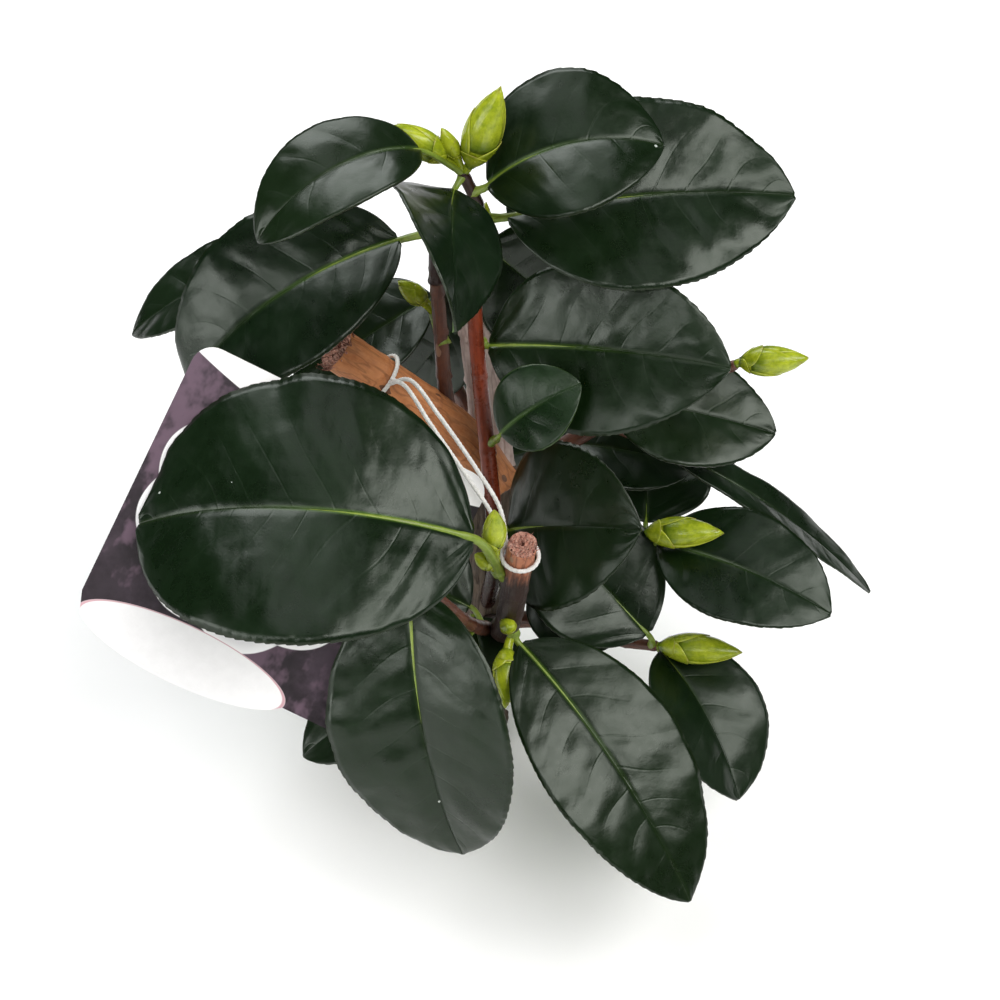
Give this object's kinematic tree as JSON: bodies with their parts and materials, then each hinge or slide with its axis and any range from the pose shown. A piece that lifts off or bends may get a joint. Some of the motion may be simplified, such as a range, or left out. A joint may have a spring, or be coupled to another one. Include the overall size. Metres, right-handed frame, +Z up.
{
  "type": "camellia shrub",
  "caption": "Young camellia with a cut-back stem, red-brown shoots, glossy leathery leaves and pointed flower buds, with a blank swing label tied on.",
  "frame": {"origin": "middle of the flat cut under the main stem, at ground level", "axes": "+Z up, -Y towards the plant's best side, the one the label hangs on, +X to its right as seen from there"},
  "size_m": [0.2311, 0.2056, 0.2346],
  "materials": {
    "bark": "matt brown bark",
    "pale_bark": "matt grey-pink bark",
    "tan_bark": "satin tan bark with a rough cut end",
    "red_bark": "smooth red-brown young bark",
    "foliage": "glossy leathery leaf",
    "label_card": "printed card with a satin sheen",
    "string": "matt white string"
  },
  "bodies": {
    "root": {"main_stem": "bark", "leader": "pale_bark", "cut_limb": "tan_bark", "cut_front_shoot": "red_bark", "red_shoot_front": "red_bark", "red_shoot_back": "red_bark", "right_shoot": "red_bark", "low_right_shoot": "red_bark", "back_left_shoot": "red_bark", "back_right_shoot": "red_bark", "low_back_shoot": "red_bark", "foliage_top": "foliage", "foliage_left": "foliage", "leaf_right_top": "foliage", "leaf_young": "foliage", "leaf_right_middle": "foliage", "foliage_front_left": "foliage", "foliage_front": "foliage", "foliage_low_left": "foliage", "foliage_right_upper": "foliage", "foliage_right_low": "foliage", "leaf_right_edge": "foliage", "foliage_right_front": "foliage", "foliage_behind_fork": "foliage", "foliage_leader": "foliage", "leaf_under_right": "foliage", "leaf_low_right": "foliage", "foliage_back_left": "foliage", "foliage_back_right": "foliage", "foliage_low_back": "foliage", "leaf_low_back_left": "foliage", "swing_label": "label_card", "label_string": "string"}
  },
  "joints": []
}
